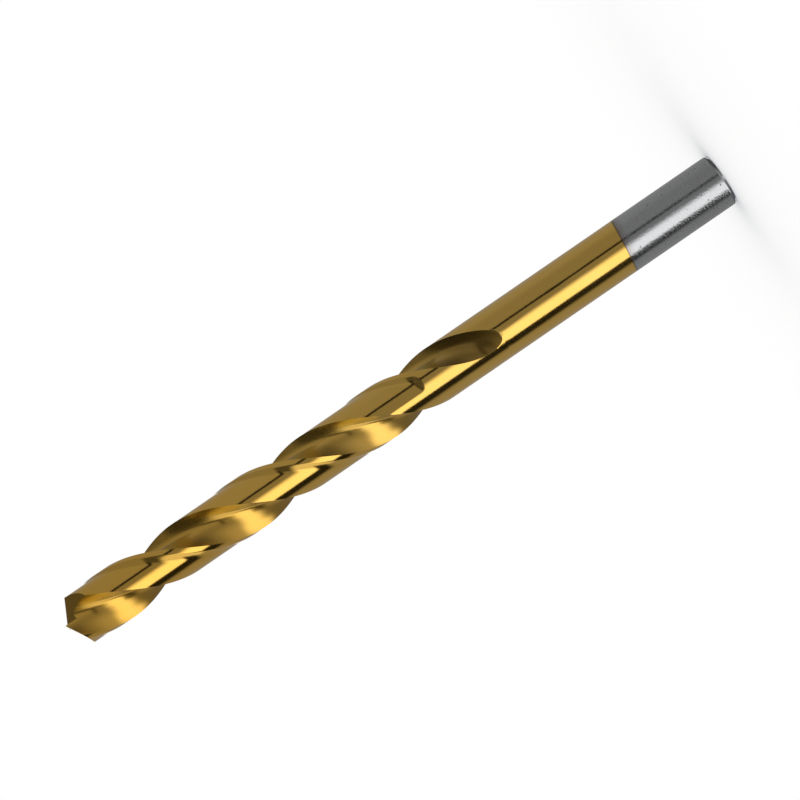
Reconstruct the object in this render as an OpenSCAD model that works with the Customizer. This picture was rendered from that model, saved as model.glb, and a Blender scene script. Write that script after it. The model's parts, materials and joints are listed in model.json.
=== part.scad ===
// Twist drill bit of jobber length, with two right-hand flutes and a split point.
// Z is the axis. The bit stands on its shank end, and its point is at the top.

/* [Overall] */
// Diameter over the margins at the point
drill_d = 9; // [6:0.1:13]
// Length from the shank end to the tip
overall_len = 125; // [115:1:160]

/* [Shank] */
// Diameter of the shank
shank_d = 8.9; // [6:0.1:13]
// Length of bare steel at the end of the shank, below the coating
bare_len = 19; // [5:0.5:35]
// Length of the chamfer at the end of the shank
chamfer_len = 0.45; // [0.1:0.05:2]
// Depth of that chamfer
chamfer_depth = 0.5; // [0.1:0.05:1.5]

/* [Flutes] */
// Length of the flutes, from the tip to where they run out
flute_len = 82; // [75:1:90]
// Angle between the helix and the axis
helix_angle = 29.5; // [20:0.1:40]
// Thickness of the web at the point
web_point = 3.1; // [1:0.1:4]
// Thickness of the web where the flutes begin to run out
web_shank = 4.8; // [1:0.1:6]
// Opening of a flute at the point, as an angle around the axis
opening_point = 98; // [80:1:105]
// Opening of a flute where it begins to run out
opening_shank = 81; // [60:1:100]
// Straightness of the wall below the cutting edge: 0 is a parabola, and more is straighter
lead_straightness = 1; // [0:0.5:8]
// Straightness of the wall below the heel
heel_straightness = 1; // [0:0.5:8]
// Share of half the opening by which the bottom of a flute lies nearer to the heel
flute_lean = 0.25; // [0:0.01:0.5]
// Length over which a flute rises to the surface
runout_len = 20; // [12:1:30]
// Fullness of the outline in which a flute ends: 2 is an ellipse, and more is blunter
runout_fullness = 2.2; // [2:0.1:4]
// Angle by which a flute has turned out of its helix when it ends
runout_turn = 22; // [0:1:40]

/* [Lands] */
// Width of the margin, around the land
margin_w = 1; // [0.4:0.1:1.6]
// Depth of the body clearance behind the margin
clearance_depth = 0.27; // [0.1:0.01:0.5]
// Width of the hollow fillet between the margin and the clearance
fillet_w = 1.4; // [0.6:0.1:2]
// Length of the body clearance, from the tip
clearance_len = 67.5; // [50:0.5:68]
// Angle from the leading edge to the deepest line of the clearance at its end
clearance_turn = 28; // [15:1:40]

/* [Point] */
// Included angle of the point
point_angle = 135; // [110:1:145]
// Distance by which the outer corner of a lip stands ahead of the axis
lip_offset = 0.7; // [0.4:0.05:1.2]
// Relief of the flank behind the lip
lip_relief = 18.8; // [8:0.1:25]
// Angle between the face of a notch and the axis
notch_angle = 37.7; // [30:0.1:45]
// Direction in which the face of a notch falls away, measured from the lip
notch_turn = 64; // [55:1:75]
// Distance from the axis to the wall of a notch
notch_gap = 0.15; // [0.05:0.05:0.4]

/* [Hidden] */

margin_r = drill_d / 2;
shank_r = shank_d / 2;
helix_lead = PI * drill_d / tan(helix_angle);
lip_slope = 1 / tan(point_angle / 2);
relief_slope = tan(lip_relief);
lip_drop = lip_slope * sqrt(margin_r * margin_r - lip_offset * lip_offset) - relief_slope * lip_offset;
lip_turn = asin(lip_offset / margin_r);
flank_tilt = atan(norm([lip_slope, relief_slope]));
flank_turn = -atan(relief_slope / lip_slope);
chisel_turn = atan(lip_slope / relief_slope);
flute_end_z = overall_len - flute_len;
runout_z = flute_end_z + runout_len;
clearance_end_z = overall_len - clearance_len;
margin_angle = margin_w / margin_r * 180 / PI;
fillet_angle = fillet_w / margin_r * 180 / PI;

// The swept part stays this far inside the turned shank where they join
join_gap = 0.003;
// The swept part reaches this far down into the shank
join_len = 0.5;
// The swept part rises this far above the tip before the point is cut
top_spare = 0.2;
// Depth that a flute still has, as a share of its full depth, where it ends
depth_left = 0.004;

// Steps around the section and along the axis
flute_steps = 8;
fillet_steps = 4;
clearance_steps = 9;
runout_steps = 18;
clearance_end_steps = 6;
body_step = 1.02;

function limited(x) = max(0, min(1, x));

// Angle of the leading edge at a height, as if the helix went on for ever
function helix_at(z) = lip_turn + 360 * (z - overall_len + lip_drop) / helix_lead;

// Share of the way up the fluted body, from where the flutes run out to the tip
function up_body(z) = limited((z - runout_z) / (overall_len - runout_z));

// Share of the way down the run-out, which is 1 where the flute ends
function down_runout(z) = limited((runout_z - z) / runout_len);

function flute_opening(z) = opening_shank + (opening_point - opening_shank) * up_body(z);
function web_at(z) = (web_shank + (web_point - web_shank) * up_body(z)) / 2;

// The grinding wheel leaves the flute along its own round edge
function flute_depth(z) = max(depth_left, 1 - pow(down_runout(z), 2));

// Half of the flute's opening, which grows narrow as the flute grows shallow
function flute_half(z) = flute_opening(z) / 2 * sqrt(1 - pow(1 - flute_depth(z), runout_fullness));
function flute_middle(z) = flute_opening(z) / 2 + runout_turn * pow(down_runout(z), 5);
function land_width(z) = 180 - 2 * flute_half(z);

// Full radius of the land, which has a slight back taper above the end of the clearance
function land_full(z) = shank_r - join_gap
    + (margin_r - shank_r + join_gap) * limited((z - clearance_end_z) / (overall_len - clearance_end_z));

// Height of the land over its clearance: at the fillet beside the margin, at the flat that the
// wheel leaves where it stops, and at the fillet across the end
function rise_margin(b) = pow(1 - limited((b - margin_angle) / fillet_angle), 2);
function rise_flat(z, b, low) =
    let (turn = b - clearance_turn - 360 * (z - clearance_end_z) / helix_lead)
    turn <= 0 ? 0 : turn > 60 ? 1 : low * (1 / cos(turn) - 1) / clearance_depth;
function rise_end(z) = pow(1 - limited((z - clearance_end_z) / fillet_w), 2);

// Radius of the land at an angle behind its leading edge
function land_r(z, b) =
    let (low = land_full(z) - clearance_depth)
    let (rise = norm([rise_margin(b), rise_flat(z, b, low), rise_end(z)]))
    low + clearance_depth * min(1, rise);

// How far a wall has risen from the bottom of the flute to its edge, as a conic
function wall_rise(u, straight) = u * u * (1 + sqrt(1 + straight)) / (1 + sqrt(1 + straight * u * u));

// Point of the flute, from its leading edge at -1 over its bottom at 0 to its heel at 1
function flute_point(z, u) =
    let (bottom = land_full(z) - flute_depth(z) * (land_full(z) - web_at(z)))
    let (edge = u < 0 ? land_full(z) : land_r(z, land_width(z)))
    let (lean = flute_half(z) * flute_lean * flute_depth(z))
    let (span = flute_half(z) - sign(u) * lean)
    let (rise = wall_rise(u, u < 0 ? lead_straightness : heel_straightness))
    let (out = bottom + (edge * cos(span) - bottom) * rise)
    let (side = edge * sin(span) * u)
    [flute_middle(z) + lean + atan2(side, out), norm([out, side])];

// Angles behind the leading edge at which the land is drawn, from its heel on
function land_angles(z) =
    let (rest = land_width(z) - margin_angle - fillet_angle)
    concat(
        [for (i = [1 : clearance_steps - 1]) land_width(z) - rest * i / clearance_steps],
        [for (i = [fillet_steps : -1 : 0]) margin_angle + fillet_angle * i / fillet_steps],
        [margin_angle / 2]
    );

// Half of the section at a height, as angles and radii
function half_section(z) = concat(
    [for (i = [-flute_steps : flute_steps]) flute_point(z, i / flute_steps)],
    [for (b = land_angles(z)) [180 + flute_middle(z) - flute_half(z) - b, land_r(z, b)]]
);

function section(z) = [
    for (half = [0, 180], p = half_section(z))
        let (turn = helix_at(z) + half + p[0])
        [p[1] * cos(turn), p[1] * sin(turn), z]
];

// Heights of the sections: close together where the flutes end and where the clearance ends
clearance_low = clearance_end_z - 0.3;
clearance_high = clearance_end_z + fillet_w + 0.1;
swept_top = overall_len + top_spare;
body_steps = ceil((swept_top - clearance_high) / body_step);
heights = concat(
    [flute_end_z - join_len],
    [for (i = [1 : runout_steps]) flute_end_z + (clearance_low - flute_end_z) * pow(i / runout_steps, 1.5)],
    [for (i = [1 : clearance_end_steps])
        clearance_low + (clearance_high - clearance_low) * i / clearance_end_steps],
    [for (i = [1 : body_steps]) clearance_high + (swept_top - clearance_high) * i / body_steps]
);

// The fluted body, as one skin over all the sections
module fluted_body() {
    rings = [for (z = heights) section(z)];
    count = len(rings[0]);
    last = (len(rings) - 1) * count;
    sides = [
        for (i = [0 : len(rings) - 2], j = [0 : count - 1], upper = [0, 1])
            let (a = i * count + j)
            let (b = i * count + (j + 1) % count)
            upper == 1 ? [a, a + count, b + count] : [a, b + count, b]
    ];
    bottom = [for (j = [0 : count - 1]) j];
    top = [for (j = [count - 1 : -1 : 0]) last + j];
    polyhedron(points = [for (r = rings) each r], faces = concat([bottom, top], sides));
}

// All that lies above a plane through the tip, which falls away at an angle in a direction
module above_plane(tilt, turn) {
    size = 3 * drill_d;
    rotate([0, tilt, turn]) translate([-size / 2, -size / 2, 0]) cube([size, size, size / 2]);
}

// One notch of the split point: a sloping face, and an upright wall beside the chisel edge
module notch() {
    size = 3 * drill_d;
    intersection() {
        above_plane(90 - notch_angle, notch_turn);
        rotate([0, 0, chisel_turn]) translate([-size / 2, notch_gap, -size / 2]) cube(size);
    }
}

// The two flanks and the two notches, as what the grinder takes away
module point_waste() {
    translate([0, 0, overall_len]) {
        for (half = [0, 180]) {
            rotate([0, 0, half]) above_plane(flank_tilt, flank_turn);
            rotate([0, 0, half]) notch();
        }
    }
}

// The bare end of the shank, with its chamfer
module bare_shank() {
    color("silver") rotate_extrude($fn = 96) polygon([
        [0, 0],
        [shank_r - chamfer_depth, 0],
        [shank_r, chamfer_len],
        [shank_r, bare_len],
        [0, bare_len]
    ]);
}

// The coated part of the shank, up to the flutes
module coated_shank() {
    color("goldenrod") translate([0, 0, bare_len]) cylinder(r = shank_r, h = flute_end_z - bare_len, $fn = 96);
}

// The coated body with its flutes, lands and point
module cutting_body() {
    color("goldenrod") difference() {
        fluted_body();
        point_waste();
    }
}

// The bit is ground from one bar, so its parts are one solid
module drill_bit() {
    union() {
        bare_shank();
        coated_shank();
        cutting_body();
    }
}

drill_bit();
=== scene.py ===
# Looks of the twist drill bit: one ground and coated bar, standing on its shank end.
import json
import math

import bpy
from mathutils import Matrix, Vector


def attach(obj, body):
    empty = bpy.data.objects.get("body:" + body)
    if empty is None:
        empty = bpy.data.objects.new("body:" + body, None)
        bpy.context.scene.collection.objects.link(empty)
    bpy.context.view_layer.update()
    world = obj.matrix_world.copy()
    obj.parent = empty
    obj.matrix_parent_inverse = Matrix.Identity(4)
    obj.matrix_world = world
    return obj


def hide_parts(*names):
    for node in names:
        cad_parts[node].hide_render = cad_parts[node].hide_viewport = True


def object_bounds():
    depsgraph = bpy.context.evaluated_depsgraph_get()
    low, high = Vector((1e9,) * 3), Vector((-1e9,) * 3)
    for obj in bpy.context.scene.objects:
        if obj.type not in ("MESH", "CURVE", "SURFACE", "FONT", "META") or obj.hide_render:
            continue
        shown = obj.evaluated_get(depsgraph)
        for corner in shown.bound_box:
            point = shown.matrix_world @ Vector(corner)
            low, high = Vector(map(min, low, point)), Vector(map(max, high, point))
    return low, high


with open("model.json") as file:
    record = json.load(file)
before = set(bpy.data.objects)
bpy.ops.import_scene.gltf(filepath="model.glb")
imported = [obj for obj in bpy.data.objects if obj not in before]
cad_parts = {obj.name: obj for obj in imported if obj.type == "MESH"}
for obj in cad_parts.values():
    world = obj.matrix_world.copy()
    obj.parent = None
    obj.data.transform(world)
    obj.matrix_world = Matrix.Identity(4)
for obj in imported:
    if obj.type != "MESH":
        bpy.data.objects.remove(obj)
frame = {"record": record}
cadLow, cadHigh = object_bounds()
print("frame loaded, box in mm:", [round(side * 1000, 2) for side in cadHigh - cadLow])

scene = bpy.context.scene
scene.view_settings.view_transform = "Standard"
mm = 0.001
degree = math.pi / 180


class Wire:
    # one output socket of a node tree, so that a sum on it is written as a sum

    def __init__(self, sheet, socket):
        self.sheet, self.socket = sheet, socket

    def math(self, operation, *others):
        return self.sheet.sum(operation, self, *others)

    def __add__(self, other):
        return self.math("ADD", other)

    def __sub__(self, other):
        return self.math("SUBTRACT", other)

    def __mul__(self, other):
        return self.math("MULTIPLY", other)

    def __truediv__(self, other):
        return self.math("DIVIDE", other)

    def __pow__(self, other):
        return self.math("POWER", other)

    def __gt__(self, other):
        return self.math("GREATER_THAN", other)

    def __lt__(self, other):
        return self.math("LESS_THAN", other)

    def __neg__(self):
        return self.math("MULTIPLY", -1)

    def __rsub__(self, other):
        return self.sheet.sum("SUBTRACT", other, self)

    def __rtruediv__(self, other):
        return self.sheet.sum("DIVIDE", other, self)

    __radd__, __rmul__ = __add__, __mul__

    def limited(self, low=0, high=1):
        return self.math("MAXIMUM", low).math("MINIMUM", high)

    def ramped(self, start, end):
        # 0 at start and 1 at end, with soft ends
        return self.sheet.make("ShaderNodeMapRange", {"interpolation_type": "SMOOTHSTEP"},
                               {"Value": self, "From Min": start, "From Max": end})

    def pick(self, name):
        return Wire(self.sheet, self.socket.node.outputs[name])


class Sheet:
    # a node tree, and the one way in which nodes are put on it

    def __init__(self, tree):
        self.tree = tree

    def make(self, kind, settings=None, sockets=None, out=0):
        node = self.tree.nodes.new(kind)
        for name, value in (settings or {}).items():
            setattr(node, name, value)
        slots = {slot.identifier: slot for slot in node.inputs}
        for name, value in (sockets or {}).items():
            for single in value if isinstance(value, list) else [value]:
                self.plug(single, slots[name])
        return Wire(self, node.outputs[out]) if node.outputs else node

    def plug(self, value, slot):
        if isinstance(value, Wire):
            self.tree.links.new(value.socket, slot)
        else:
            slot.default_value = value

    def sum(self, operation, *values):
        names = ("Value", "Value_001", "Value_002")
        return self.make("ShaderNodeMath", {"operation": operation}, dict(zip(names, values)))

    def vector(self, x, y, z):
        return self.make("ShaderNodeCombineXYZ", None, {"X": x, "Y": y, "Z": z})


# The bar. Sizes are in millimetres and degrees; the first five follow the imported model.
shankMount = next(mount for mount in frame["record"]["mounts"] if mount["name"] == "shank")
shankMiddle = shankMount["pos_m"][2] / mm
barShape = {
    "Length": (cadHigh.z - cadLow.z) / mm,
    "Margin radius": (cadHigh.x - cadLow.x) / 2 / mm,
    "Shank radius": shankMount["dims"]["r_mm"],
    "Flute end": shankMiddle + shankMount["dims"]["length_mm"] / 2,
    "Chamfer length": shankMiddle - shankMount["dims"]["length_mm"] / 2,
    "Chamfer depth": 0.5,
    "Chamfer rounding": 0.12,
    "Run-out length": 20,
    "Run-out turn": 22,
    "Run-out turn rise": 5,        # power by which that turn grows towards the end
    "Helix angle": 29.5,
    "Web at point": 3.1,
    "Web at shank": 4.8,
    "Opening at point": 98,
    "Opening at shank": 81,
    "Run-out rise": 2.8,           # power by which a flute grows shallow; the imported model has 2
    "Run-out fullness": 2.2,       # of the outline in which it ends, where 2 is an ellipse
    "Straightness of lead": 1,
    "Straightness of heel": 1,
    "Lean": 0.38,                  # of a flute's bottom towards the heel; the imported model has 0.25
    "Margin width": 1,
    "Fillet width": 1.4,
    "Clearance depth": 0.27,
    "Clearance end": 57.5,
    "Clearance turn": 28,
    "Point angle": 135,
    "Lip offset": 0.7,
    "Lip relief": 18.8,
    "Notch angle": 37.7,
    "Notch turn": 64,
    "Notch gap": 0.15,
}
barMesh = {
    "fluteSteps": 56,        # around one flute, and then over its land
    "clearanceSteps": 24,
    "filletSteps": 12,
    "marginSteps": 8,
    "rimRings": 9,           # up the chamfer, then up the shank, then up the flutes
    "rimStep": 0.1,
    "shankRings": 44,
    "fluteStep": 0.2,
    "shankGap": 0.01,        # a ring that lies this far below the flutes is round
    "flatReach": 60,         # most degrees over which the flat at the end of the clearance rises
    "spare": 0.2,            # the bar rises this far above the tip before the point is ground
    "depthLeft": 0.004,      # share of its depth that a flute has where it ends
    "wasteBlock": 6,         # size of what the grinder takes away, over the margin's radius
    "sharpAngle": 28,        # edges that turn more than this stay crisp
}


def layRings(size, mesh, ring):
    # height of each ring: close together at the rim, wide apart on the shank, even along the flutes
    rimTop = mesh["rimRings"] * mesh["rimStep"]
    above = ring - mesh["rimRings"]
    onShank = (above / mesh["shankRings"]).limited()
    onFlutes = (above - mesh["shankRings"]).math("MAXIMUM", 0)
    rim = ring.math("MINIMUM", mesh["rimRings"]) * mesh["rimStep"]
    return rim + onShank * (size["Flute end"] - rimTop) + onFlutes * mesh["fluteStep"]


def layFlute(size, mesh, z, step):
    # angle and radius of a flute's wall, and what its land needs to know about it
    runOutTop = size["Flute end"] + size["Run-out length"]
    up = ((z - runOutTop) / (size["Length"] - runOutTop)).limited()
    down = ((runOutTop - z) / size["Run-out length"]).limited()
    opening = size["Opening at shank"] + (size["Opening at point"] - size["Opening at shank"]) * up
    web = (size["Web at shank"] + (size["Web at point"] - size["Web at shank"]) * up) / 2
    depth = (1 - down ** size["Run-out rise"]).math("MAXIMUM", mesh["depthLeft"])
    middle = opening / 2 + size["Run-out turn"] * down ** size["Run-out turn rise"]
    narrow = down ** (size["Run-out fullness"] * 2)
    half = opening / 2 * (1 - narrow).math("MAXIMUM", mesh["depthLeft"]).math("SQRT")
    across = (step * (2 / mesh["fluteSteps"]) - 1).math("MINIMUM", 1)
    return {"middle": middle, "half": half, "across": across, "depth": depth, "web": web}


def layWall(size, flute, full, heel):
    # the flute's section: a conic from its bottom to either edge, straighter the further from the bottom
    across, onHeel = flute["across"], flute["across"] > 0
    bottom = full - flute["depth"] * (full - flute["web"])
    edge = full + (heel - full) * onHeel
    straight = size["Straightness of lead"] + (
        size["Straightness of heel"] - size["Straightness of lead"]) * onHeel
    square = across * across
    rise = square * (1 + (1 + straight).math("SQRT")) / (1 + (1 + straight * square).math("SQRT"))
    lean = flute["half"] * flute["depth"] * size["Lean"]
    span = (flute["half"] + lean - lean * onHeel * 2) * degree
    out = bottom + (edge * span.math("COSINE") - bottom) * rise
    side = edge * span.math("SINE") * across
    angle = flute["middle"] + lean + side.math("ARCTAN2", out) / degree
    return angle, (out * out + side * side).math("SQRT")


def layLand(size, mesh, z, step, flute, lead):
    # angle behind the leading edge and radius of the land: margin, hollow fillet, clearance
    perMillimetre = 180 / math.pi / size["Margin radius"]
    marginAngle, filletAngle = size["Margin width"] * perMillimetre, size["Fillet width"] * perMillimetre
    width = 180 - flute["half"] * 2
    rest = width - marginAngle - filletAngle
    spans = (("clearanceSteps", rest), ("filletSteps", filletAngle), ("marginSteps", marginAngle))
    behind, first = width, mesh["fluteSteps"]
    for name, span in spans:
        behind = behind - span * ((step - first) / mesh[name]).limited()
        first += mesh[name]
    aboveEnd = z - size["Clearance end"]
    full = size["Shank radius"] + (size["Margin radius"] - size["Shank radius"]) * (
        aboveEnd / (size["Length"] - size["Clearance end"])).limited()
    low = full - size["Clearance depth"]
    riseMargin = (1 - ((behind - marginAngle) / filletAngle).limited()) ** 2
    riseEnd = (1 - (aboveEnd / size["Fillet width"]).limited()) ** 2
    pastFlat = behind - size["Clearance turn"] - aboveEnd * 360 / lead
    pastFlat = pastFlat.limited(0, mesh["flatReach"]) * degree
    riseFlat = low * (1 / pastFlat.math("COSINE") - 1) / size["Clearance depth"]
    rise = (riseMargin * riseMargin + riseEnd * riseEnd + riseFlat * riseFlat).math("SQRT")
    radius = low + size["Clearance depth"] * rise.math("MINIMUM", 1)
    return {"behind": behind, "full": full, "radius": radius}


def layShank(size, z):
    # radius of the shank, with its chamfer and a small rounding above it
    slope = size["Chamfer depth"] / size["Chamfer length"]
    chamfer = size["Shank radius"] - size["Chamfer depth"] + z * slope
    rounded = chamfer.math("SMOOTH_MIN", size["Shank radius"], size["Chamfer rounding"])
    return rounded.math("MINIMUM", size["Shank radius"])


def grindPoint(sheet, size, mesh, bar, lipSlope, reliefSlope):
    # two flanks and two notches, each a block that is taken away
    block = size["Margin radius"] * mesh["wasteBlock"]

    def moved(shape, place, turn):
        return sheet.make("GeometryNodeTransform", None, {
            "Geometry": shape, "Translation": sheet.vector(*place), "Rotation": sheet.vector(*turn)})

    def above(tilt, turn):
        # a block that stands on a tilted plane
        cube = sheet.make("GeometryNodeMeshCube", None, {"Size": sheet.vector(block, block, block / 2)})
        raised = moved(cube, (0, 0, block / 4), (0, 0, 0))
        return moved(raised, (0, 0, 0), (0, tilt, turn))

    flankTilt = (lipSlope * lipSlope + reliefSlope * reliefSlope).math("SQRT").math("ARCTANGENT")
    flank = above(flankTilt, -(reliefSlope / lipSlope).math("ARCTANGENT"))
    wallCube = sheet.make("GeometryNodeMeshCube", None, {"Size": sheet.vector(block, block, block)})
    wall = moved(moved(wallCube, (0, size["Notch gap"] + block / 2, 0), (0, 0, 0)),
                 (0, 0, 0), (0, 0, (lipSlope / reliefSlope).math("ARCTANGENT")))
    face = above((90 - size["Notch angle"]) * degree, size["Notch turn"] * degree)
    notch = sheet.make("GeometryNodeMeshBoolean", {"operation": "INTERSECT", "solver": "MANIFOLD"},
                       {"Mesh 2": [face, wall]})
    waste = [moved(shape, (0, 0, size["Length"]), (0, 0, half * math.pi))
             for shape in (flank, notch) for half in (0, 1)]
    return sheet.make("GeometryNodeMeshBoolean", {"operation": "DIFFERENCE", "solver": "MANIFOLD"},
                      {"Mesh 1": bar, "Mesh 2": waste})


def barTree(shape, mesh, material):
    tree = bpy.data.node_groups.new("fluted bar", "GeometryNodeTree")
    tree.interface.new_socket("Geometry", in_out="INPUT", socket_type="NodeSocketGeometry")
    tree.interface.new_socket("Geometry", in_out="OUTPUT", socket_type="NodeSocketGeometry")
    for name in shape:
        tree.interface.new_socket(name, in_out="INPUT", socket_type="NodeSocketFloat")
    sheet = Sheet(tree)
    given = sheet.make("NodeGroupInput")
    size = {name: given.pick(name) for name in shape}

    halfSteps = sum(mesh[name] for name in ("fluteSteps", "clearanceSteps", "filletSteps", "marginSteps"))
    fluted = shape["Length"] + mesh["spare"] - shape["Flute end"]
    rings = mesh["rimRings"] + mesh["shankRings"] + math.ceil(fluted / mesh["fluteStep"])
    tube = sheet.make("GeometryNodeMeshCylinder", {"fill_type": "NGON"},
                      {"Vertices": 2 * halfSteps, "Side Segments": rings})
    index = sheet.make("GeometryNodeInputIndex")
    ring = (index / (2 * halfSteps)).math("FLOOR")
    around = index - ring * (2 * halfSteps)
    halfTurn = (around / halfSteps).math("FLOOR")
    step = around - halfTurn * halfSteps

    lipSlope = 1 / (size["Point angle"] / 2 * degree).math("TANGENT")
    reliefSlope = (size["Lip relief"] * degree).math("TANGENT")
    lipReach = (size["Margin radius"] ** 2 - size["Lip offset"] ** 2).math("SQRT")
    lipDrop = lipSlope * lipReach - reliefSlope * size["Lip offset"]
    lipTurn = (size["Lip offset"] / size["Margin radius"]).math("ARCSINE") / degree
    lead = 2 * math.pi * size["Margin radius"] / (size["Helix angle"] * degree).math("TANGENT")

    z = layRings(size, mesh, ring)
    onHelix = z.math("MAXIMUM", size["Flute end"])
    helix = lipTurn + (onHelix - size["Length"] + lipDrop) * 360 / lead
    flute = layFlute(size, mesh, z, step)
    land = layLand(size, mesh, z, step, flute, lead)
    fluteAngle, fluteRadius = layWall(size, flute, land["full"], land["radius"])
    landAngle = 180 + flute["middle"] - flute["half"] - land["behind"]

    onLand = step > mesh["fluteSteps"]
    angle = fluteAngle + (landAngle - fluteAngle) * onLand
    radius = fluteRadius + (land["radius"] - fluteRadius) * onLand
    # down the shank the points of a ring spread out evenly
    below = ((size["Flute end"] - z) / (size["Flute end"] - mesh["rimRings"] * mesh["rimStep"])).limited()
    even = step * (180 / halfSteps) + flute["middle"] - 90 * mesh["fluteSteps"] / halfSteps
    angle = angle + (even - angle) * below
    isShank = size["Flute end"] - mesh["shankGap"] > z
    radius = radius + (layShank(size, z) - radius) * isShank
    whole = (helix + halfTurn * 180 + angle) * degree
    place = sheet.vector(radius * whole.math("COSINE"), radius * whole.math("SINE"), z)
    outward = sheet.make("GeometryNodeFlipFaces", None, {"Mesh": tube})   # its rings now run upwards
    bar = sheet.make("GeometryNodeSetPosition", None, {"Geometry": outward, "Position": place})
    # the material finds a flute by its inner points, without the edges that it shares with the lands
    isFluted = z > size["Flute end"] + mesh["fluteStep"] / 2
    inFlute = (1 - onLand) * isFluted * (step > 0.5) * (step < mesh["fluteSteps"] - 0.5)
    marked = sheet.make("GeometryNodeStoreNamedAttribute", {"data_type": "FLOAT", "domain": "POINT"}, {
        "Geometry": bar, "Name": "flute", "Value": inFlute})
    ground = grindPoint(sheet, size, mesh, marked, lipSlope, reliefSlope)

    smooth = sheet.make("GeometryNodeSetShadeSmooth", {"domain": "FACE"}, {"Geometry": ground})
    edgeAngle = sheet.make("GeometryNodeInputMeshEdgeAngle")
    crisp = sheet.make("GeometryNodeSetShadeSmooth", {"domain": "EDGE"}, {
        "Geometry": smooth, "Selection": edgeAngle > mesh["sharpAngle"] * degree, "Shade Smooth": False})
    scaled = sheet.make("GeometryNodeTransform", None, {"Geometry": crisp, "Scale": (mm, mm, mm)})
    real = sheet.make("GeometryNodeRealizeInstances", None, {"Geometry": scaled})
    dressed = sheet.make("GeometryNodeSetMaterial", None, {"Geometry": real, "Material": material})
    tree.links.new(dressed.socket, tree.nodes.new("NodeGroupOutput").inputs[0])
    return tree


# Metal. Colours and roughness of the coating and of the bare end. Heights and lengths are in mm, angles in
# degrees. A share says how far one look covers another.
finish = {
    "coating": (0.88, 0.555, 0.118),
    "coatingWarm": (0.89, 0.495, 0.06),
    "paintedShadeColour": (0.42, 0.25, 0.045),   # painted shade in the flutes, where they run out
    "warmFrom": 45,              # height from which the coating grows warmer towards the point
    "warmShare": 0.6,
    "paintedShadeFrom": 58,              # height below which painted shade darkens the flutes
    "paintedShadeFull": 49,
    "lacquer": 0.6,              # a clear skin over the coating, which pales where it is seen aslant
    "lacquerRough": 0.10,
    "steel": (0.60, 0.605, 0.61),
    "steelDull": (0.45, 0.455, 0.465),
    "tint": (0.27, 0.19, 0.11),
    "tintShare": 0.85,
    "tintLength": 1.7,
    "tintTurn": 110,
    "burnt": (0.10, 0.075, 0.05),
    "burntShare": 0.8,
    "burntWidth": 0.15,
    "edgeHeight": 18.8,          # where the coating ends, over the shank end
    "edgeSkew": 0.57,
    "edgeTurn": 23,
    "edgeWobble": 0.05,
    "edgeSoft": 0.08,
    "pit": (0.16, 0.15, 0.14),
    "pitShare": 0.7,
    "pitCells": 0.9,             # cells in each mm, some of which hold a pit
    "pitRim": (0.07, 0.15),      # from its floor to its rim, in cells
    "pitSpread": 0.54,           # more leaves fewer pits
    "landRough": 0.10,
    "fluteRough": 0.22,
    "steelRough": 0.13,
    "roughLimits": (0.05, 0.6),
}
# Patterns on the metal: waves in each mm, fineness and roughness of the pattern.
patterns = {
    "streaks": (5.0, 3.0, 0.65),         # along the flutes
    "fineStreaks": (22.0, 2.0, 0.5),
    "lines": (9.0, 3.0, 0.7),            # around the bit
    "grain": (12.0, 2.0, 0.5),
    "mottle": (3.2, 2.0, 0.5),
    "clouds": (0.35, 2.0, 0.5),
    "edgeWaves": (1.2, 3.0, 0.5),
    "pitPlaces": (0.9, 2.0, 0.5),
}
stretch = {"streaks": 0.02, "lines": 0.5}    # less draws these marks out longer
# Patches of another colour: strength of the pattern, what is taken off it, and share.
patches = {
    "warmClouds": (1.6, 0.45, 0.4),
    "warmStreaks": (1.4, 0.4, 0.3),
    "dullGrain": (2.4, 0.7, 0.55),
    "dullLines": (2, 0.7, 0.35),
}
roughChange = {"lines": 0.07, "streaks": 0.16, "grain": 0.16}
# Height in mm of what catches the light.
relief = {
    "lines": 0.0009,
    "fineStreaks": 0.0009,
    "streaks": 0.0028,
    "mottle": 0.0035,
    "mottleOnSteel": 0.0145,     # more of it where the steel is bare
    "grain": 0.0015,
    "grainOnSteel": 0.003,
    "pit": 0.02,
}


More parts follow.
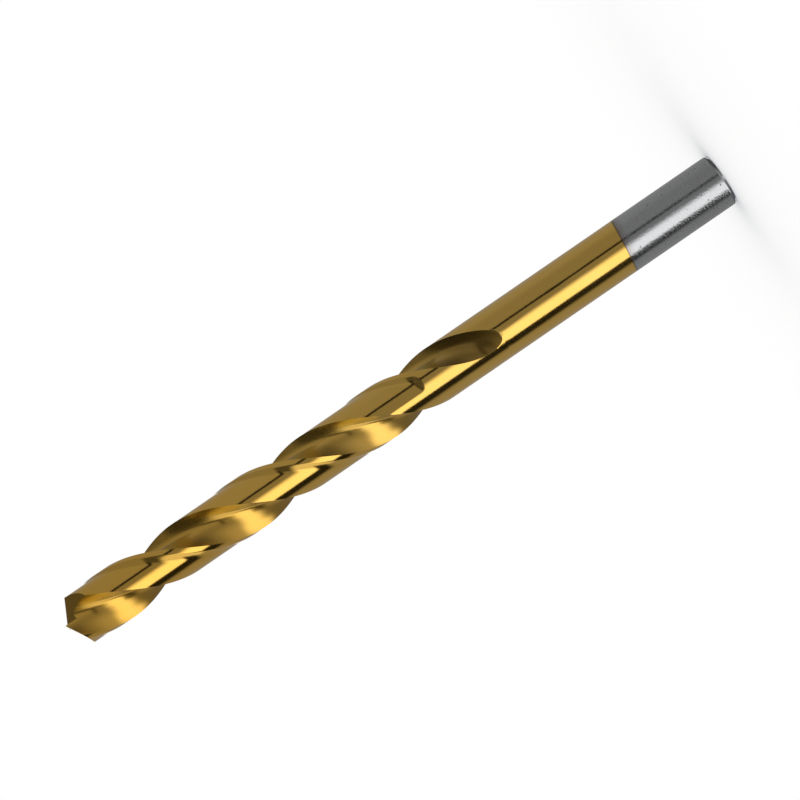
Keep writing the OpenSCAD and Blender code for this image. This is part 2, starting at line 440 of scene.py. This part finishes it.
def coatedSteel(given, lead, lengthOver):
    material = bpy.data.materials.new("coatedSteel")
    material.use_nodes = True
    sheet = Sheet(material.node_tree)
    material.node_tree.nodes.clear()
    place = sheet.make("ShaderNodeTexCoord", out=3)
    apart = sheet.make("ShaderNodeSeparateXYZ", None, {"Vector": place})
    x, y, height = apart / mm, apart.pick("Y") / mm, apart.pick("Z") / mm
    radius = (x * x + y * y).math("SQRT")
    around = y.math("ARCTAN2", x)
    inFlute = sheet.make("ShaderNodeAttribute", {"attribute_name": "flute"}, out=2)

    def noise(vector, name):
        scale, detail, rough = patterns[name]
        return sheet.make("ShaderNodeTexNoise", None, {
            "Vector": vector, "Scale": scale, "Detail": detail, "Roughness": rough})

    def patched(pattern, name):
        strength, takenOff, share = patches[name]
        return (pattern * strength - takenOff).limited() * share

    def mixed(factor, first, second):
        return sheet.make("ShaderNodeMix", {"data_type": "RGBA"}, {
            "Factor_Float": factor, "A_Color": colour(first), "B_Color": colour(second)}, out=2)

    def colour(value):
        return value if isinstance(value, Wire) else (*value, 1)

    # turned back by the helix, the section stands still, and marks along the flutes become straight
    turned = around - height * (2 * math.pi / lead)
    along = sheet.vector(
        turned.math("COSINE") * radius, turned.math("SINE") * radius, height * stretch["streaks"])
    rings = sheet.vector(
        around.math("COSINE") * stretch["lines"], around.math("SINE") * stretch["lines"], height)
    plain = sheet.vector(x, y, height)
    streaks, fineStreaks = noise(along, "streaks"), noise(along, "fineStreaks")
    lines, grain, mottle = noise(rings, "lines"), noise(plain, "grain"), noise(plain, "mottle")

    # the coating ends in an uneven line, with a burnt rim and a brown tint beside it on one side
    edge = given["edgeHeight"] + (around + given["edgeTurn"] * degree).math("COSINE") * given["edgeSkew"]
    edge = edge + (noise(plain, "edgeWaves") - 0.5) * (given["edgeWobble"] * 2)
    bare = (edge - height).ramped(-given["edgeSoft"], given["edgeSoft"])
    tintSide = (around - given["tintTurn"] * degree).math("COSINE") * 0.5 + 0.5
    tinted = (1 - ((edge - height) / given["tintLength"]).limited()) ** 2 * bare * tintSide
    burnt = (1 - (edge - height).math("ABSOLUTE") / given["burntWidth"]).limited()

    warm = patched(noise(plain, "clouds"), "warmClouds") + inFlute * patched(streaks, "warmStreaks")
    warm = warm + height.ramped(given["warmFrom"], lengthOver) * given["warmShare"]
    # painted shade: the flutes' colour darkens where they run out, in place of the dark they mirror there
    dark = inFlute * (1 - height.ramped(given["paintedShadeFull"], given["paintedShadeFrom"]))
    gold = mixed(warm.limited(), given["coating"], given["coatingWarm"])
    gold = mixed(dark, gold, given["paintedShadeColour"])
    dull = patched(grain, "dullGrain") + patched(lines, "dullLines")
    steel = mixed(dull.limited(), given["steel"], given["steelDull"])
    steel = mixed(tinted * given["tintShare"], steel, given["tint"])
    cells = sheet.make("ShaderNodeTexVoronoi", {"feature": "F1"}, {
        "Vector": plain, "Scale": given["pitCells"]})
    isPitted = noise(plain, "pitPlaces") > given["pitSpread"]
    pit = (1 - cells.ramped(*given["pitRim"])) * bare * isPitted
    colourNow = mixed(burnt * given["burntShare"], mixed(bare, gold, steel), given["burnt"])
    colourNow = mixed(pit * given["pitShare"], colourNow, given["pit"])

    rough = given["landRough"] + (lines - 0.5) * roughChange["lines"]
    rough = rough + (given["fluteRough"] - given["landRough"]) * inFlute
    rough = rough + inFlute * (streaks - 0.5) * roughChange["streaks"]
    rough = rough + (given["steelRough"] + (grain - 0.5) * roughChange["grain"] - rough) * bare
    raised = (lines - 0.5) * (1 - inFlute) * relief["lines"]
    raised = raised + (fineStreaks - 0.5) * inFlute * relief["fineStreaks"]
    raised = raised + (streaks - 0.5) * inFlute * relief["streaks"]
    raised = raised + (mottle - 0.5) * (relief["mottle"] + bare * relief["mottleOnSteel"])
    raised = raised + (grain - 0.5) * (relief["grain"] + bare * relief["grainOnSteel"])
    raised = raised - pit * relief["pit"]
    bump = sheet.make("ShaderNodeBump", None, {"Height": raised, "Distance": mm, "Strength": 1.0})
    shader = sheet.make("ShaderNodeBsdfPrincipled", None, {
        "Base Color": colourNow, "Metallic": 1.0, "Roughness": rough.limited(*given["roughLimits"]),
        "Normal": bump, "Coat Weight": (1 - bare) * given["lacquer"],
        "Coat Roughness": given["lacquerRough"]})
    sheet.make("ShaderNodeOutputMaterial", None, {"Surface": shader})
    return material


def builtBar():
    lead = 2 * math.pi * barShape["Margin radius"] / math.tan(barShape["Helix angle"] * degree)
    material = coatedSteel(finish, lead, barShape["Length"])
    tree = barTree(barShape, barMesh, material)
    bar = bpy.data.objects.new("drillBit", bpy.data.meshes.new("drillBit"))
    scene.collection.objects.link(bar)
    modifier = bar.modifiers.new("fluted bar", "NODES")
    modifier.node_group = tree
    for item in tree.interface.items_tree:
        if item.in_out == "INPUT" and item.name in barShape:
            modifier[item.identifier] = float(barShape[item.name])
    depsgraph = bpy.context.evaluated_depsgraph_get()
    mesh = bpy.data.meshes.new_from_object(bar.evaluated_get(depsgraph), depsgraph=depsgraph)
    bar.modifiers.clear()
    bar.data = mesh
    print("bar built:", len(mesh.polygons), "faces")
    return bar


bar = builtBar()
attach(bar, "root")
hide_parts("drill_bit")


# Camera: seen from the side, a little above the middle, and rolled so that the point is at the lower left.
cameraView = {
    "azimuth": 39.8,       # direction from the bit's axis to the camera
    "distance": 700,
    "height": 87.1,
    "lookHeight": 62.5,
    "roll": 34.49,         # of the axis over the horizontal of the picture
    "pixelsPerMm": 6.350,  # at the axis, in a picture of 800 pixels
    "pictureSize": 800,
    "shift": (0.0053, 0.00347),
    "clip": (0.01, 20),    # metres
}


def addCamera(given):
    turn = given["azimuth"] * degree
    away = Vector((math.cos(turn), math.sin(turn), 0)) * given["distance"]
    place = (away + Vector((0, 0, given["height"]))) * mm
    target = Vector((0, 0, given["lookHeight"])) * mm
    forward = (target - place).normalized()
    side = forward.cross(Vector((0, 0, 1))).normalized()
    upright = side.cross(forward)
    roll = given["roll"] * degree
    right = -math.cos(roll) * upright - math.sin(roll) * side
    up = right.cross(forward)
    data = bpy.data.cameras.new("camera")
    camera = bpy.data.objects.new("camera", data)
    scene.collection.objects.link(camera)
    camera.matrix_world = Matrix((
        (right.x, up.x, -forward.x, place.x), (right.y, up.y, -forward.y, place.y),
        (right.z, up.z, -forward.z, place.z), (0, 0, 0, 1)))
    halfPicture = given["pictureSize"] / 2 / given["pixelsPerMm"] * mm
    data.lens = data.sensor_width / 2 * (target - place).length / halfPicture
    data.shift_x, data.shift_y = given["shift"]
    data.clip_start, data.clip_end = given["clip"]
    scene.camera = camera


addCamera(cameraView)
print("camera placed")

# Studio. What the metal mirrors: a pale room with soft boxes and dark flags, each painted over those
# before it. Angles are in degrees: around the bit from the camera's side, and up over the horizon. An edge
# is its angle and its softness, and slant moves the left and right edges with each degree of height.
studioRoom = {
    "level": 0.25,
    "white": 1.0,                 # of what the camera sees
    "whiteBehind": 172,           # the metal mirrors white from this angle on
    "whiteSoft": 8,
    "bounce": 1.03,               # level at which the floor is lit
    "again": (0.66, 0.90, 1.12),  # cools what is mirrored twice, deep in the flutes
    "againDepth": 2.5,            # what is mirrored for the second time lies deeper than this
}
studioFields = [
    # room on the right, and the pale shelf on the left with a dip in it
    {"level": 0.31, "left": (88, 30), "low": (-8.5, 3)},
    {"level": 0.32, "right": (-30, 6), "low": (-8.5, 3), "high": (4, 5)},
    {"level": 0.25, "left": (-84, 36), "right": (-12, 8), "low": (-8.5, 3), "high": (-2.5, 3)},
    # under the shelf, then flags below, far left and right
    {"level": 0.19, "right": (-12, 44), "high": (-8.5, 3)},
    {"level": 0.10, "right": (-78, 40), "high": (-16, 12)},
    {"level": 0.15, "left": (72, 30), "high": (-8.5, 3)},
    # glow around the lower soft box, and what lies under the bit
    {"level": 0.43, "left": (-48, 70), "right": (70, 40), "high": (-20, 24)},
    {"level": 0.30, "high": (-64, 14)},
    # flags overhead
    {"level": 0.09, "right": (-62, 40), "low": (30, 16)},
    {"level": 0.012, "left": (-56, 60), "low": (27, 14)},
    # upper soft box, and a flag in front of its left part
    {"level": 0.85, "left": (-33, 14), "right": (63, 20), "slant": 2.5, "low": (11, 5), "high": (31, 12)},
    {"level": 0.07, "left": (-26, 10), "right": (8, 18), "low": (6, 6), "high": (26, 8)},
    # thin flag, which draws the dark line along the shank
    {"level": 0.01, "left": (-27, 4), "right": (-18.5, 4), "low": (-10, 3), "high": (10, 6)},
    # middle soft box, the lower one and its foot, and the flag beside the middle one
    {"level": 1.42, "left": (8, 22), "right": (50, 7), "low": (-8.5, 3), "high": (9, 10)},
    {"level": 1.38, "left": (14, 26), "right": (62, 26), "low": (-52, 14), "high": (-8.5, 3)},
    {"level": 1.38, "left": (10, 28), "right": (84, 26), "low": (-52, 14), "high": (-31, 12)},
    {"level": 0.015, "left": (52, 5), "right": (80, 16), "low": (-8.5, 3), "high": (12, 4)},
]


def paintField(level, around, rise, field):
    # lay one field with soft edges over the level painted so far
    across = around - rise * field.get("slant", 0)
    edges = (("left", across, 1), ("right", across, -1), ("low", rise, 1), ("high", rise, -1))
    covered = None
    for name, angle, side in edges:
        if name in field:
            edge, soft = field[name]
            mask = angle.ramped(edge - soft / 2 * side, edge + soft / 2 * side)
            covered = mask if covered is None else covered * mask
    return level + (field["level"] - level) * covered


def addStudio(room, fields):
    world = bpy.data.worlds.new("studio")
    scene.world = world
    world.use_nodes = True
    sheet = Sheet(world.node_tree)
    world.node_tree.nodes.clear()
    towards = sheet.make("ShaderNodeTexCoord", out=0)
    apart = sheet.make("ShaderNodeSeparateXYZ", None, {"Vector": towards})
    azimuth = apart.pick("Y").math("ARCTAN2", apart.pick("X")) / degree
    around = (cameraView["azimuth"] - azimuth).math("WRAP", 180, -180)
    rise = apart.pick("Z").math("ARCSINE") / degree
    mirrored = sheet.sum("ADD", room["level"], 0)   # the level as a wire, to paint over
    for field in fields:
        mirrored = paintField(mirrored, around, rise, field)
    path = sheet.make("ShaderNodeLightPath")
    behind = around.math("ABSOLUTE").ramped(room["whiteBehind"] - room["whiteSoft"], room["whiteBehind"])
    mirrored = mirrored + (room["white"] - mirrored) * behind
    isGlossy, isClear = path.pick("Is Glossy Ray"), path.pick("Is Transmission Ray")
    isSeen = path.pick("Is Camera Ray").math("MAXIMUM", isClear)
    level = room["bounce"] + (room["white"] - room["bounce"]) * isSeen
    level = level + (mirrored - level) * isGlossy
    again = (path.pick("Ray Depth") > room["againDepth"]) * isGlossy
    cooled = sheet.make("ShaderNodeMix", {"data_type": "RGBA", "blend_type": "MULTIPLY"}, {
        "Factor_Float": again, "A_Color": level, "B_Color": (*room["again"], 1)}, out=2)
    light = sheet.make("ShaderNodeBackground", None, {"Color": cooled, "Strength": 1.0})
    sheet.make("ShaderNodeOutputWorld", None, {"Surface": light})


addStudio(studioRoom, studioFields)


paperFloor = {"reach": 3, "white": 0.975}    # metres from the bit to each side, and its colour


def addFloor(given):
    floor = bpy.data.objects.new("floor", bpy.data.meshes.new("floor"))
    scene.collection.objects.link(floor)
    reach, white = given["reach"], given["white"]
    corners = [(-reach, -reach, 0), (reach, -reach, 0), (reach, reach, 0), (-reach, reach, 0)]
    floor.data.from_pydata(corners, [], [(0, 1, 2, 3)])
    material = bpy.data.materials.new("paper")
    material.use_nodes = True
    sheet = Sheet(material.node_tree)
    material.node_tree.nodes.clear()
    paper = sheet.make("ShaderNodeBsdfDiffuse", None, {"Color": (white, white, white, 1)})
    sheet.make("ShaderNodeOutputMaterial", None, {"Surface": paper})
    floor.data.materials.append(material)
    floor.visible_glossy = False    # the metal mirrors the studio's own lower half


addFloor(paperFloor)
print("studio set")

bpy.context.view_layer.update()
